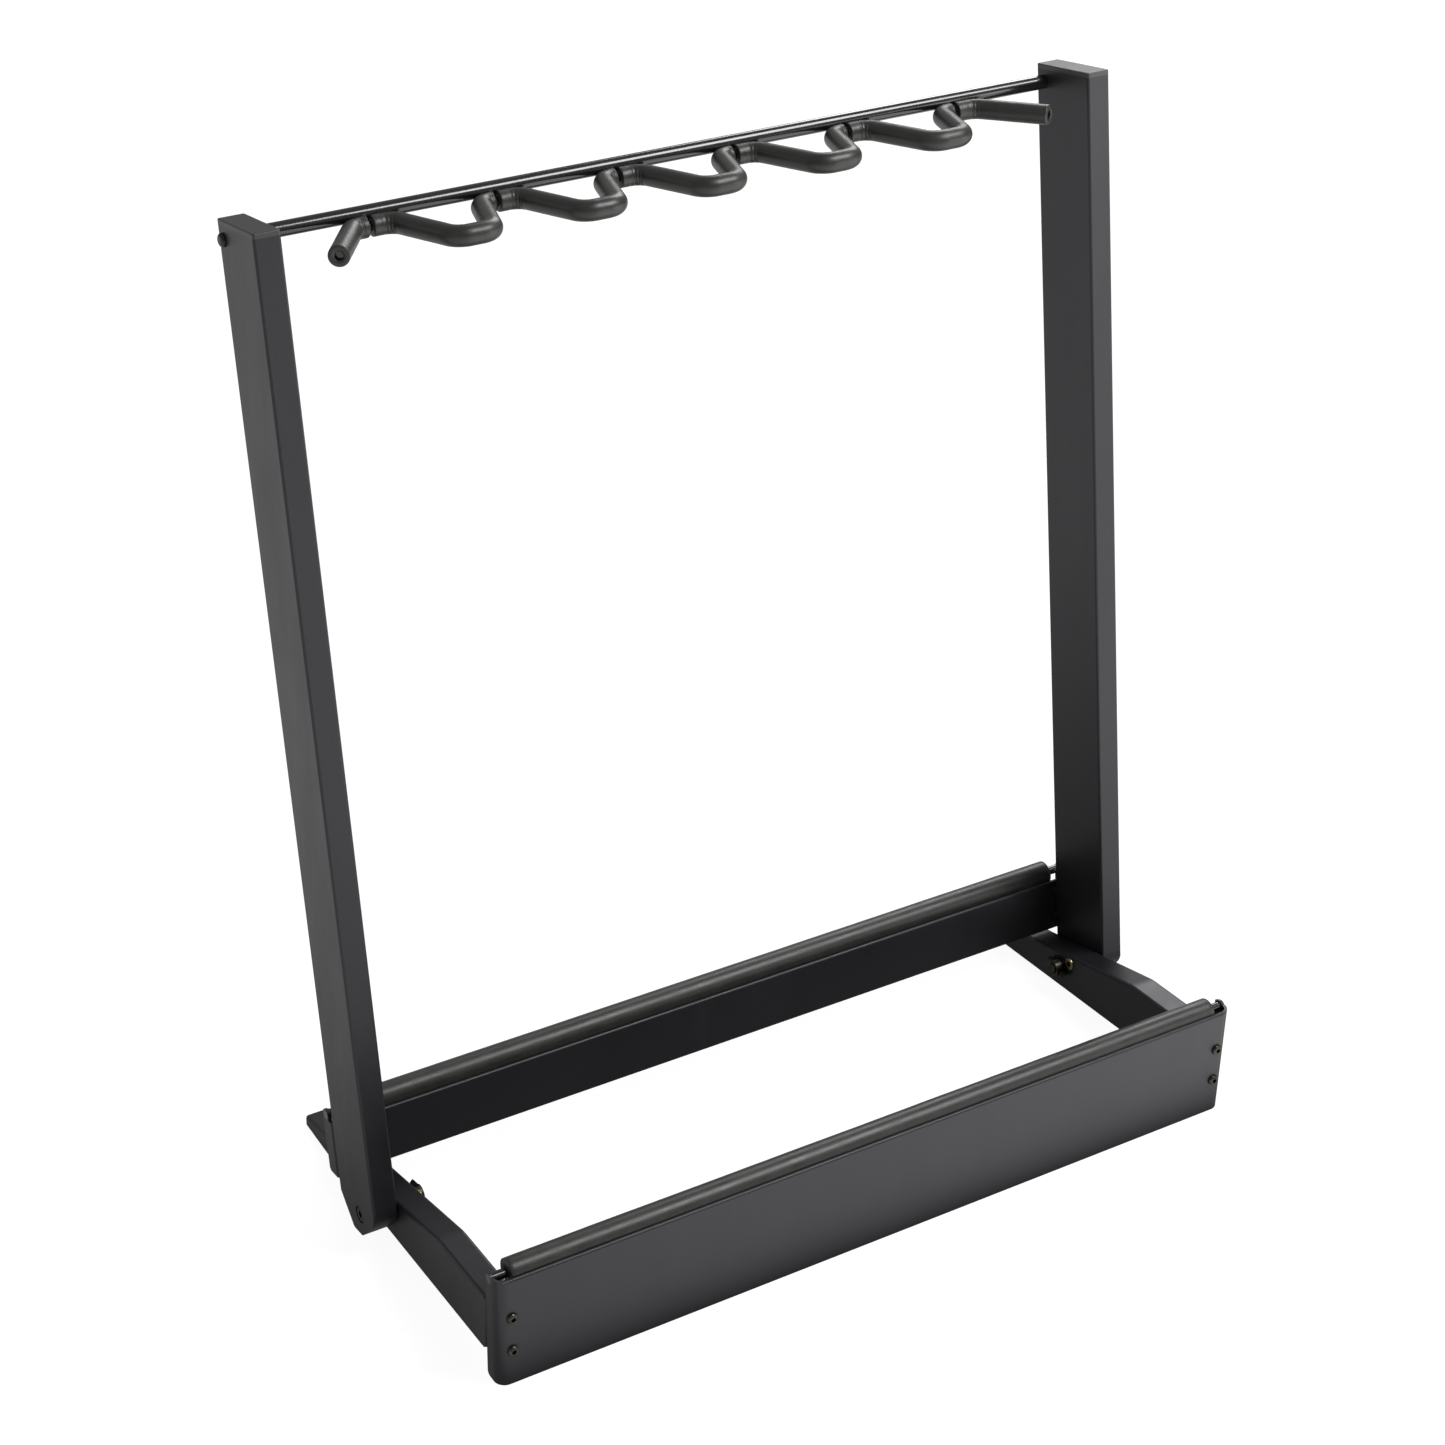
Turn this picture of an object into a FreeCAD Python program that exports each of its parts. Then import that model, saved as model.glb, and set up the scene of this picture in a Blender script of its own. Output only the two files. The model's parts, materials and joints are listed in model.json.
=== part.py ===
import FreeCAD, Part
import math
import os

os.makedirs("parts", exist_ok=True)

# Folding guitar rack. All sizes in millimetres.
# +X is to the right, +Y to the back, +Z up. The floor is z = 0.
# The origin is on the floor, below the middle of the whole rack.

# Uprights: flat rectangular tubes that lean back over the side rails.
LEAN = 8.85
UPRIGHT_FRONT_Y = -14.8
UPRIGHT_INNER_X = 360.0
UPRIGHT_WIDTH = 22.0
UPRIGHT_DEPTH = 70.0
UPRIGHT_LENGTH = 870.2
UPRIGHT_WALL = 2.0
UPRIGHT_CORNER_RADIUS = 2.0
CAP_THICKNESS = 4.0
PLUG_TOP = 56.0

# Side rails: folded channels, open below, low at the back and high at the front.
# The front end is narrower, to fit inside the bent end of the front panel.
RAIL_OUTER_X = 359.4
RAIL_INNER_X = 334.8
RAIL_NOSE_X = 355.8
RAIL_NOSE_END_Y = -164.7
RAIL_NOSE_STEP = 1.6
RAIL_WALL = 2.0
RAIL_REAR_Y = 188.0
RAIL_REAR_HEIGHT = 8.0
RAIL_REST_Y = 67.0
RAIL_REST_Z = 34.0
RAIL_KINK_Y = -80.5
RAIL_KINK_Z = 71.7
RAIL_FRONT_Z = 78.8
RAIL_LIFT_Y = 140.0
RAIL_UNDERSIDE_SLOPE = 0.08
RAIL_BEND_RADIUS = 3.0
RAIL_END_RADIUS = 8.0
RAIL_END_PLATE = 3.0

# Sheet thickness shared by the front and the rear cross panels.
SHEET = 2.5
PANEL_EDGE_RADIUS = 1.6

# Front cross panel, upright on the floor.
FRONT_FACE_Y = -184.8
FRONT_HALF_LENGTH = 358.6
FRONT_HEIGHT = 104.5
FRONT_RETURN = 19.7
FRONT_BEND_RADIUS = 10.0
FRONT_ROD_BACK = 14.2
FRONT_ROD_HEIGHT = 101.0
FRONT_RETURN_HEIGHT = 98.0

# Rear cross panel, carried by the uprights. Heights run along the uprights.
REAR_FACE_BACK = 75.0
REAR_BOTTOM = 49.0
REAR_HALF_LENGTH = 380.0
REAR_HEIGHT = 49.1
REAR_RETURN = 19.0
REAR_TAB_DROP = 3.0
REAR_BEND_RADIUS = 5.0
REAR_ROD_BACK = 13.5
REAR_ROD_HEIGHT = 52.8
REAR_RETURN_HEIGHT = 46.0

# Round rods and the foam on them.
ROD_RADIUS = 4.0
EAR_RADIUS = 5.3
FOAM_RADIUS = 11.2
FRONT_FOAM_HALF_LENGTH = 343.0
REAR_FOAM_HALF_LENGTH = 361.0
SLIP = 0.1

# Top rod, in distance behind the upright's front and distance along it.
TOP_ROD_BACK = 61.0
TOP_ROD_UP = 855.4
TOP_ROD_RADIUS = 6.0

# Neck hanger: a bent wire in foam sleeves, six valleys and five full loops.
VALLEYS = 6
PITCH = 106.2
HANGER_BACK = 53.4
HANGER_UP = 846.4
HANGER_DROOP = 3.8
HANGER_REACH = 65.7
VALLEY_FLAT = 33.7
VALLEY_RADIUS = 14.4
TIP_FLAT = 30.0
TIP_RADIUS = 14.0
END_REACH = 55.5
WIRE_RADIUS = 3.5
SLEEVE_BORE_RADIUS = 3.6
SLEEVE_RADIUS = 8.5
SLEEVE_GAP = 3.6
SEAM_OFFSET = -4.0
WELD_TAB_WIDTH = 3.0
WIRE_INSET = 4.0

# Fold pivot, in distance behind the upright's front and distance along it.
PIVOT_BACK = 31.0
PIVOT_UP = 35.6
PIVOT_RADIUS = 5.0
PIVOT_CLEARANCE = 0.05
BUSHING_RADIUS = 8.0
BUSHING_LENGTH = 14.1
PIVOT_HEAD_RADIUS = 7.0
PIVOT_HEAD_HEIGHT = 5.2
PIVOT_HEAD_HOLE = 7.6
PIVOT_NUT_RADIUS = 8.0
PIVOT_NUT_HEIGHT = 7.5
PIVOT_NUT_TIP = 1.0
WING_THICKNESS = 4.0
WING_OUTLINE = ((1.5, 2.0), (1.5, 11.6), (4.3, 13.8), (7.2, 9.4), (6.2, 2.0))
LEFT_NUT_TURN = 18.0
RIGHT_NUT_TURN = -100.0
PIVOT_WASHER_RADIUS = 10.0
PIVOT_WASHER_THICKNESS = 1.5
BODY_GAP = 0.3

# Fasteners.
PANEL_SCREW_X = 346.0
PANEL_SCREW_HEIGHTS = (34.0, 66.9)
PANEL_SCREW_RADIUS = 3.0
PANEL_SCREW_HEAD_RADIUS = 4.9
PANEL_SCREW_HEAD_HEIGHT = 2.8
REAR_SCREW_X = 368.5
REAR_SCREW_HEIGHTS = (60.0, 87.0)
REAR_SCREW_RADIUS = 2.5
REAR_SCREW_HEAD_RADIUS = 4.5
ROD_BOLT_RADIUS = 2.5
ROD_BOLT_HEAD_RADIUS = 5.5
ROD_BOLT_HEAD_HEIGHT = 3.6
ROD_BOLT_DEPTH = 22.0
INSERT_Y = 7.5
INSERT_Z = 41.5
INSERT_RADIUS = 4.2
INSERT_FLANGE_RADIUS = 5.5
INSERT_BORE_RADIUS = 2.8


def V(x, y, z):
    return FreeCAD.Vector(x, y, z)


def unit(vector):
    return vector * (1.0 / vector.Length)


def box(x0, x1, y0, y1, z0, z1):
    return Part.makeBox(x1 - x0, y1 - y0, z1 - z0, V(x0, y0, z0))


def bar_x(x0, x1, y, z, radius):
    """Round bar along X."""
    return Part.makeCylinder(radius, x1 - x0, V(x0, y, z), V(1, 0, 0))


def bar_y(y0, y1, x, z, radius):
    """Round bar along Y."""
    return Part.makeCylinder(radius, y1 - y0, V(x, y0, z), V(0, 1, 0))


def hex_x(x0, x1, y, z, flats):
    """Hexagonal bar along X, measured across its flats."""
    corners = []
    for turn in range(7):
        angle = math.radians(30 + 60 * turn)
        reach = flats / math.sqrt(3)
        corners.append(V(x0, y + reach * math.cos(angle), z + reach * math.sin(angle)))
    return Part.Face(Part.makePolygon(corners)).extrude(V(x1 - x0, 0, 0))


def mirrored(shape):
    """Copy on the other side of the rack's middle plane."""
    return shape.mirror(V(0, 0, 0), V(1, 0, 0))


def pair(shape):
    return Part.makeCompound([shape, mirrored(shape)])


def leaned(shape):
    """Moves a shape from the upright's own axes into the rack."""
    moved = shape.copy()
    moved.rotate(V(0, 0, 0), V(1, 0, 0), -LEAN)
    moved.translate(V(0, UPRIGHT_FRONT_Y, 0))
    return moved


def fillet_where(shape, radius, wanted):
    """Rounds every straight edge whose two end points pass the test."""
    edges = []
    for edge in shape.Edges:
        if len(edge.Vertexes) == 2 and wanted(edge.Vertexes[0].Point, edge.Vertexes[1].Point):
            edges.append(edge)
    return shape.makeFillet(radius, edges)


def corner(before, at, after, radius):
    """Start, middle and end of the arc that rounds one corner of a path."""
    back = unit(before - at)
    ahead = unit(after - at)
    half = back.getAngle(ahead) / 2
    reach = radius / math.tan(half)
    middle = at + unit(back + ahead) * (radius / math.sin(half) - radius)
    return at + back * reach, middle, at + ahead * reach


def rounded_path(points, radii):
    """Lines through the points, with an arc at each inner point that has a radius."""
    edges = []
    here = points[0]
    for index in range(1, len(points) - 1):
        if radii[index] > 0:
            start, middle, end = corner(points[index - 1], points[index], points[index + 1], radii[index])
            edges.append(Part.LineSegment(here, start).toShape())
            edges.append(Part.Arc(start, middle, end).toShape())
            here = end
        else:
            edges.append(Part.LineSegment(here, points[index]).toShape())
            here = points[index]
    edges.append(Part.LineSegment(here, points[-1]).toShape())
    return Part.Wire(edges)


def side_plate(outline, x0, x1):
    """Plate across X whose outline is given as (y, z, corner radius)."""
    points = [V(x0, y, z) for y, z, radius in outline]
    radii = [radius for y, z, radius in outline]
    wire = rounded_path(points + [points[0]], radii + [0])
    return Part.Face(wire).extrude(V(x1 - x0, 0, 0))


def save(name, shape):
    shape.exportStep("parts/" + name + ".step")


def upright_outline():
    """Side view of an upright: rounded toe in front, slanted heel behind."""
    top = UPRIGHT_LENGTH - CAP_THICKNESS
    return (
        (0.0, top, 0),
        (0.0, 40.0, 23.0),
        (30.5, 15.5, 5.0),
        (47.5, 15.5, 3.0),
        (UPRIGHT_DEPTH, 42.5, 3.0),
        (UPRIGHT_DEPTH, top, 0),
    )


def upright():
    """Right upright in its own axes: tube, cut to outline and drilled."""
    inner = UPRIGHT_INNER_X
    outer = UPRIGHT_INNER_X + UPRIGHT_WIDTH
    tube = box(inner, outer, 0, UPRIGHT_DEPTH, 0, UPRIGHT_LENGTH)
    tube = fillet_where(tube, UPRIGHT_CORNER_RADIUS, lambda a, b: abs(a.z - b.z) > 100)
    tube = tube.common(side_plate(upright_outline(), inner - 1, outer + 1))
    tube = tube.cut(box(
        inner + UPRIGHT_WALL, outer - UPRIGHT_WALL,
        UPRIGHT_WALL, UPRIGHT_DEPTH - UPRIGHT_WALL,
        0, UPRIGHT_LENGTH,
    ))
    bore = PIVOT_RADIUS + PIVOT_CLEARANCE
    tube = tube.cut(bar_x(inner - 1, inner + 5, PIVOT_BACK, PIVOT_UP, bore))
    tube = tube.cut(bar_x(outer - 5, outer + 1, PIVOT_BACK, PIVOT_UP, PIVOT_HEAD_HOLE))
    tube = tube.cut(bar_x(inner - 1, outer + 1, TOP_ROD_BACK, TOP_ROD_UP, ROD_BOLT_RADIUS + SLIP))
    for height in REAR_SCREW_HEIGHTS:
        hole = REAR_SCREW_RADIUS + PIVOT_CLEARANCE
        tube = tube.cut(bar_y(UPRIGHT_DEPTH - 5, UPRIGHT_DEPTH + 1, REAR_SCREW_X, height, hole))
    return leaned(tube)


def top_cap():
    """Plastic cap that closes the tube, flush with its outside."""
    inner = UPRIGHT_INNER_X
    outer = UPRIGHT_INNER_X + UPRIGHT_WIDTH
    bottom = UPRIGHT_LENGTH - CAP_THICKNESS
    cap = box(inner, outer, 0, UPRIGHT_DEPTH, bottom, UPRIGHT_LENGTH)
    cap = fillet_where(cap, UPRIGHT_CORNER_RADIUS, lambda a, b: abs(a.z - b.z) > 1)
    cap = fillet_where(cap, 1.0, lambda a, b: min(a.z, b.z) > UPRIGHT_LENGTH - 0.1)
    inset = UPRIGHT_WALL + 2 * SLIP
    neck = box(inner + inset, outer - inset, inset, UPRIGHT_DEPTH - inset, bottom - 5, bottom)
    return leaned(cap.fuse(neck))


def foot_plug():
    """Plastic plug inside the lower end of an upright, around the pivot bushing."""
    inner = UPRIGHT_INNER_X + UPRIGHT_WALL
    outer = UPRIGHT_INNER_X + UPRIGHT_WIDTH - UPRIGHT_WALL
    plug = side_plate(upright_outline(), inner + SLIP, outer - SLIP)
    inset = UPRIGHT_WALL + SLIP
    plug = plug.common(box(inner, outer, inset, UPRIGHT_DEPTH - inset, 0, PLUG_TOP))
    room = bar_x(inner - 1, outer + 1, PIVOT_BACK, PIVOT_UP, BUSHING_RADIUS + SLIP)
    return leaned(plug.cut(room))


def pivot_bushing():
    inner = UPRIGHT_INNER_X + UPRIGHT_WALL
    ring = bar_x(inner, inner + BUSHING_LENGTH, PIVOT_BACK, PIVOT_UP, BUSHING_RADIUS)
    bore = bar_x(inner, inner + BUSHING_LENGTH, PIVOT_BACK, PIVOT_UP, PIVOT_RADIUS + PIVOT_CLEARANCE)
    return leaned(ring.cut(bore))


def pivot_place():
    """Pivot axis in the rack's own Y and Z."""
    lean = math.radians(LEAN)
    y = UPRIGHT_FRONT_Y + PIVOT_BACK * math.cos(lean) + PIVOT_UP * math.sin(lean)
    z = PIVOT_UP * math.cos(lean) - PIVOT_BACK * math.sin(lean)
    return y, z


PIVOT_Y, PIVOT_Z = pivot_place()


def pivot_bolt():
    """Bolt with a round socket head sunk in the upright, threaded into the inner nut."""
    head_inner = UPRIGHT_INNER_X + UPRIGHT_WALL + BUSHING_LENGTH + BODY_GAP
    head_outer = head_inner + PIVOT_HEAD_HEIGHT
    end = RAIL_INNER_X - PIVOT_WASHER_THICKNESS - PIVOT_NUT_HEIGHT - PIVOT_NUT_TIP
    head = bar_x(head_inner, head_outer, PIVOT_Y, PIVOT_Z, PIVOT_HEAD_RADIUS)
    rim = [edge for edge in head.Edges if edge.BoundBox.XMin > head_outer - 0.01]
    head = head.makeFillet(1.2, rim)
    head = head.cut(hex_x(head_outer - 2.5, head_outer + 1, PIVOT_Y, PIVOT_Z, 6.0))
    return head.fuse(bar_x(end, head_inner, PIVOT_Y, PIVOT_Z, PIVOT_RADIUS))


def pivot_nut(turn):
    """Wing nut on the right side. Its first wing leans back from straight up by the turn."""
    seat = RAIL_INNER_X - PIVOT_WASHER_THICKNESS
    nut = bar_x(seat - PIVOT_NUT_HEIGHT, seat, PIVOT_Y, PIVOT_Z, PIVOT_NUT_RADIUS)
    corners = [V(RAIL_INNER_X - out, PIVOT_Y - WING_THICKNESS / 2, PIVOT_Z + up) for out, up in WING_OUTLINE]
    wing = Part.Face(Part.makePolygon(corners + corners[:1])).extrude(V(0, WING_THICKNESS, 0))
    for half_turn in (0, 180):
        placed = wing.copy()
        placed.rotate(V(0, PIVOT_Y, PIVOT_Z), V(1, 0, 0), half_turn - turn)
        nut = nut.fuse(placed)
    return nut.cut(bar_x(seat - 20, seat + 1, PIVOT_Y, PIVOT_Z, PIVOT_RADIUS + PIVOT_CLEARANCE))


def pivot_nuts():
    return Part.makeCompound([mirrored(pivot_nut(LEFT_NUT_TURN)), pivot_nut(RIGHT_NUT_TURN)])


def pivot_washer():
    """Washer between the pivot nut and the inner wall of a side rail."""
    inner = RAIL_INNER_X - PIVOT_WASHER_THICKNESS
    ring = bar_x(inner, RAIL_INNER_X, PIVOT_Y, PIVOT_Z, PIVOT_WASHER_RADIUS)
    hole = bar_x(inner - 1, RAIL_INNER_X + 1, PIVOT_Y, PIVOT_Z, PIVOT_RADIUS + PIVOT_CLEARANCE)
    return ring.cut(hole)


def rail_prism(inset, underside_drop):
    """Solid rail shape, smaller than the outside of the rail by the inset."""
    front = FRONT_FACE_Y + SHEET
    if inset > 0:
        front = front + RAIL_END_PLATE
    rear = RAIL_REAR_Y - inset
    outline = (
        (rear, -underside_drop, 0),
        (rear, RAIL_REAR_HEIGHT - inset, 0.8),
        (RAIL_REST_Y, RAIL_REST_Z - inset, 40.0),
        (RAIL_KINK_Y, RAIL_KINK_Z - inset, 40.0),
        (front, RAIL_FRONT_Z - inset, 0),
        (front, RAIL_UNDERSIDE_SLOPE * (RAIL_LIFT_Y - front) - underside_drop, 0),
        (RAIL_LIFT_Y, -underside_drop, 0),
    )
    inner = RAIL_INNER_X + inset
    outer = RAIL_OUTER_X - inset
    nose = RAIL_NOSE_X - inset
    step_y = RAIL_NOSE_END_Y + inset / 2
    step_end = step_y + RAIL_NOSE_STEP
    solid = side_plate(outline, inner, outer)
    plan = Part.Face(Part.makePolygon([
        V(nose, front - 1, -50), V(nose, step_y, -50), V(outer, step_end, -50),
        V(outer + 1, step_end, -50), V(outer + 1, front - 1, -50), V(nose, front - 1, -50),
    ]))
    solid = solid.cut(plan.extrude(V(0, 0, 200)))
    solid = fillet_where(
        solid, RAIL_END_RADIUS - inset,
        lambda a, b: abs(a.z - b.z) > 40 and min(a.x, b.x) > nose - 0.1 and max(a.y, b.y) < front + 0.1,
    )
    long_edges = []
    for edge in solid.Edges:
        middle = edge.valueAt((edge.FirstParameter + edge.LastParameter) / 2)
        ends = [vertex.Point for vertex in edge.Vertexes]
        level = min(point.z for point in ends) > RAIL_REAR_HEIGHT - inset - 4 and len(ends) == 2
        along = level and abs(ends[0].y - ends[1].y) > 1 and middle.y < rear - 2
        if along:
            long_edges.append(edge)
    return solid.makeFillet(RAIL_BEND_RADIUS - inset, long_edges)


def side_rail():
    """Right side rail: folded channel with a plate across its front end."""
    front = FRONT_FACE_Y + SHEET
    rail = rail_prism(0.0, 0.0).cut(rail_prism(RAIL_WALL, 40.0))
    for x0, x1 in ((RAIL_INNER_X - 1, RAIL_INNER_X + 4), (RAIL_OUTER_X - 4, RAIL_OUTER_X + 1)):
        rail = rail.cut(bar_x(x0, x1, PIVOT_Y, PIVOT_Z, PIVOT_RADIUS + PIVOT_CLEARANCE))
    rail = rail.cut(bar_x(RAIL_INNER_X - 1, RAIL_INNER_X + 4, INSERT_Y, INSERT_Z, INSERT_RADIUS + SLIP))
    for height in PANEL_SCREW_HEIGHTS:
        hole_radius = PANEL_SCREW_RADIUS + PIVOT_CLEARANCE
        rail = rail.cut(bar_y(front - 1, front + 6, PANEL_SCREW_X, height, hole_radius))
    return rail


def lock_insert():
    """Flanged threaded insert in the rail's inner wall."""
    flange = bar_x(RAIL_INNER_X - 1.5, RAIL_INNER_X, INSERT_Y, INSERT_Z, INSERT_FLANGE_RADIUS)
    barrel = bar_x(RAIL_INNER_X, RAIL_INNER_X + 7, INSERT_Y, INSERT_Z, INSERT_RADIUS)
    bore = bar_x(RAIL_INNER_X - 2, RAIL_INNER_X + 8, INSERT_Y, INSERT_Z, INSERT_BORE_RADIUS)
    return flange.fuse(barrel).cut(bore)


def edge_round(reach, height):
    """What is cut away to round the front upper edge of a cross panel's sheet."""
    radius = PANEL_EDGE_RADIUS
    block = box(-reach, reach, -1, radius, height - radius, height + 1)
    return block.cut(bar_x(-reach - 1, reach + 1, radius, height - radius, radius))


def cross_panel(half, height, depth, bend, rod_back, rod_height, return_height, drop):
    """Sheet panel in its own axes: flat face, bent ends, and round ears that hold the rod."""
    top = rod_height + EAR_RADIUS
    body = box(-half, half, 0, depth, -drop, top)
    body = fillet_where(body, bend, lambda a, b: abs(a.z - b.z) > 10 and max(a.y, b.y) < 0.1)
    inside = box(-half + SHEET, half - SHEET, SHEET, depth + 20, -drop - 1, top + 1)
    inside = fillet_where(
        inside, bend - SHEET, lambda a, b: abs(a.z - b.z) > 10 and max(a.y, b.y) < SHEET + 0.1)
    body = body.cut(inside)
    end_outline = (
        (0.0, -drop, 0.0),
        (depth, -drop, 3.5),
        (depth, return_height, 3.0),
        (rod_back + EAR_RADIUS, height, 0.0),
        (0.0, height, 2.2),
    )
    ends = side_plate(end_outline, -half - 1, half + 1)
    ends = ends.fuse(bar_x(-half - 1, half + 1, rod_back, rod_height, EAR_RADIUS))
    ear_front = rod_back - EAR_RADIUS
    ear_rear = rod_back + EAR_RADIUS
    ends = ends.fuse(box(-half - 1, half + 1, ear_front, ear_rear, height - 6, rod_height))
    body = body.common(ends)
    body = body.cut(box(-half + SHEET, half - SHEET, -1, depth + 1, height, top + 1))
    body = body.cut(edge_round(half - bend, height))
    if drop > 0:
        body = body.cut(box(-half + bend, half - bend, -1, depth + 1, -drop - 1, 0))
    body = body.cut(bar_x(-half - 1, half + 1, rod_back, rod_height, ROD_RADIUS + PIVOT_CLEARANCE))
    return body


def front_panel():
    panel = cross_panel(
        FRONT_HALF_LENGTH, FRONT_HEIGHT, FRONT_RETURN, FRONT_BEND_RADIUS,
        FRONT_ROD_BACK, FRONT_ROD_HEIGHT, FRONT_RETURN_HEIGHT, 0.0,
    )
    for side in (-1, 1):
        for height in PANEL_SCREW_HEIGHTS:
            hole = bar_y(-1, SHEET + 1, side * PANEL_SCREW_X, height, PANEL_SCREW_RADIUS + SLIP)
            panel = panel.cut(hole)
    panel.translate(V(0, FRONT_FACE_Y, 0))
    return panel


def rear_panel():
    panel = cross_panel(
        REAR_HALF_LENGTH, REAR_HEIGHT, REAR_RETURN, REAR_BEND_RADIUS,
        REAR_ROD_BACK, REAR_ROD_HEIGHT, REAR_RETURN_HEIGHT, REAR_TAB_DROP,
    )
    panel.translate(V(0, REAR_FACE_BACK, REAR_BOTTOM))
    for side in (-1, 1):
        for height in REAR_SCREW_HEIGHTS:
            hole = bar_y(
                REAR_FACE_BACK - 1, REAR_FACE_BACK + SHEET + 1,
                side * REAR_SCREW_X, height, REAR_SCREW_RADIUS + SLIP,
            )
            panel = panel.cut(hole)
    return leaned(panel)


def domed(head, radius, height_direction, top):
    """Rounds the outer rim of a screw head."""
    rim = []
    for edge in head.Edges:
        middle = edge.BoundBox.Center
        if abs(middle.dot(height_direction) - top) < 0.01:
            rim.append(edge)
    return head.makeFillet(radius, rim)


def front_panel_screw(side, height):
    """Button-head screw through the front panel into the rail's end plate."""
    x = side * PANEL_SCREW_X
    outer = FRONT_FACE_Y - PANEL_SCREW_HEAD_HEIGHT
    head = bar_y(outer, FRONT_FACE_Y, x, height, PANEL_SCREW_HEAD_RADIUS)
    head = domed(head, 2.1, V(0, 1, 0), outer)
    socket = hex_x(0, 2.2, x, height, 4.0)
    socket.rotate(V(0, 0, 0), V(0, 0, 1), 90)
    socket.translate(V(x - socket.BoundBox.Center.x, outer - 0.2 - socket.BoundBox.YMin, 0))
    end = FRONT_FACE_Y + SHEET + RAIL_END_PLATE + 4
    shank = bar_y(FRONT_FACE_Y, end, x, height, PANEL_SCREW_RADIUS)
    return head.cut(socket).fuse(shank)


def front_panel_screws():
    screws = []
    for side in (-1, 1):
        for height in PANEL_SCREW_HEIGHTS:
            screws.append(front_panel_screw(side, height))
    return Part.makeCompound(screws)


def rear_panel_spacers():
    spacers = []
    for side in (-1, 1):
        for height in REAR_SCREW_HEIGHTS:
            x = side * REAR_SCREW_X
            ring = bar_y(UPRIGHT_DEPTH, REAR_FACE_BACK, x, height, 7.0)
            hole = bar_y(UPRIGHT_DEPTH - 1, REAR_FACE_BACK + 1, x, height, REAR_SCREW_RADIUS + SLIP)
            spacers.append(ring.cut(hole))
    return leaned(Part.makeCompound(spacers))


def rear_panel_screws():
    """Screws put in from behind, through panel and spacer into the upright."""
    screws = []
    seat = REAR_FACE_BACK + SHEET
    for side in (-1, 1):
        for height in REAR_SCREW_HEIGHTS:
            x = side * REAR_SCREW_X
            head = bar_y(seat, seat + 3, x, height, REAR_SCREW_HEAD_RADIUS)
            head = domed(head, 1.5, V(0, 1, 0), seat + 3)
            screws.append(head.fuse(bar_y(UPRIGHT_DEPTH - 6, seat, x, height, REAR_SCREW_RADIUS)))
    return leaned(Part.makeCompound(screws))


def front_rod():
    y = FRONT_FACE_Y + FRONT_ROD_BACK
    return bar_x(-FRONT_HALF_LENGTH, FRONT_HALF_LENGTH, y, FRONT_ROD_HEIGHT, ROD_RADIUS)


def rear_rod():
    up = REAR_BOTTOM + REAR_ROD_HEIGHT
    back = REAR_FACE_BACK + REAR_ROD_BACK
    return leaned(bar_x(-REAR_HALF_LENGTH, REAR_HALF_LENGTH, back, up, ROD_RADIUS))


def foam_tube(half, y, z):
    tube = bar_x(-half, half, y, z, FOAM_RADIUS)
    return tube.cut(bar_x(-half, half, y, z, ROD_RADIUS + SLIP))


def top_rod():
    """Rod between the uprights, with a threaded hole in each end."""
    rod = bar_x(-UPRIGHT_INNER_X, UPRIGHT_INNER_X, TOP_ROD_BACK, TOP_ROD_UP, TOP_ROD_RADIUS)
    for x0 in (-UPRIGHT_INNER_X, UPRIGHT_INNER_X - ROD_BOLT_DEPTH):
        hole = bar_x(x0, x0 + ROD_BOLT_DEPTH, TOP_ROD_BACK, TOP_ROD_UP, ROD_BOLT_RADIUS + PIVOT_CLEARANCE)
        rod = rod.cut(hole)
    return leaned(rod)


def rod_bolt():
    """Round-head bolt through an upright into the end of the top rod."""
    outer = UPRIGHT_INNER_X + UPRIGHT_WIDTH
    head = bar_x(outer, outer + ROD_BOLT_HEAD_HEIGHT, TOP_ROD_BACK, TOP_ROD_UP, ROD_BOLT_HEAD_RADIUS)
    head = domed(head, 2.8, V(1, 0, 0), outer + ROD_BOLT_HEAD_HEIGHT)
    end = UPRIGHT_INNER_X - ROD_BOLT_DEPTH + 2
    return leaned(head.fuse(bar_x(end, outer, TOP_ROD_BACK, TOP_ROD_UP, ROD_BOLT_RADIUS)))


def hanger_point(x, reach):
    """Point in the hanger's plane: reach is the distance forward of the valleys."""
    droop = math.radians(HANGER_DROOP)
    return V(x, HANGER_BACK - reach * math.cos(droop), HANGER_UP - reach * math.sin(droop))


def valley_x(index):
    return (index - (VALLEYS - 1) / 2) * PITCH


def full_loop(index, start, end):
    """Path points and radii from one valley over its tip to the next valley."""
    left = valley_x(index)
    right = valley_x(index + 1)
    tip = (left + right) / 2
    points = [
        hanger_point(left + start, 0),
        hanger_point(left + VALLEY_FLAT / 2, 0),
        hanger_point(tip - TIP_FLAT / 2, HANGER_REACH),
        hanger_point(tip + TIP_FLAT / 2, HANGER_REACH),
        hanger_point(right - VALLEY_FLAT / 2, 0),
        hanger_point(right - end, 0),
    ]
    radii = [0, VALLEY_RADIUS, TIP_RADIUS, TIP_RADIUS, VALLEY_RADIUS, 0]
    return points, radii


def end_leg(side, inset, start):
    """Path from an outer valley to the open end beside the upright."""
    x = side * valley_x(VALLEYS - 1)
    bend = hanger_point(x + side * VALLEY_FLAT / 2, 0)
    tip = hanger_point(x + side * PITCH / 2, END_REACH)
    last = tip - unit(tip - bend) * inset
    return [hanger_point(x + side * start, 0), bend, last], [0, VALLEY_RADIUS, 0]


def swept(points, radii, radius):
    """Round bar along a rounded path."""
    path = rounded_path(points, radii)
    along = unit(points[1] - points[0])
    ring = Part.Wire(Part.makeCircle(radius, points[0], along))
    return path.makePipeShell([ring], True, False)


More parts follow.
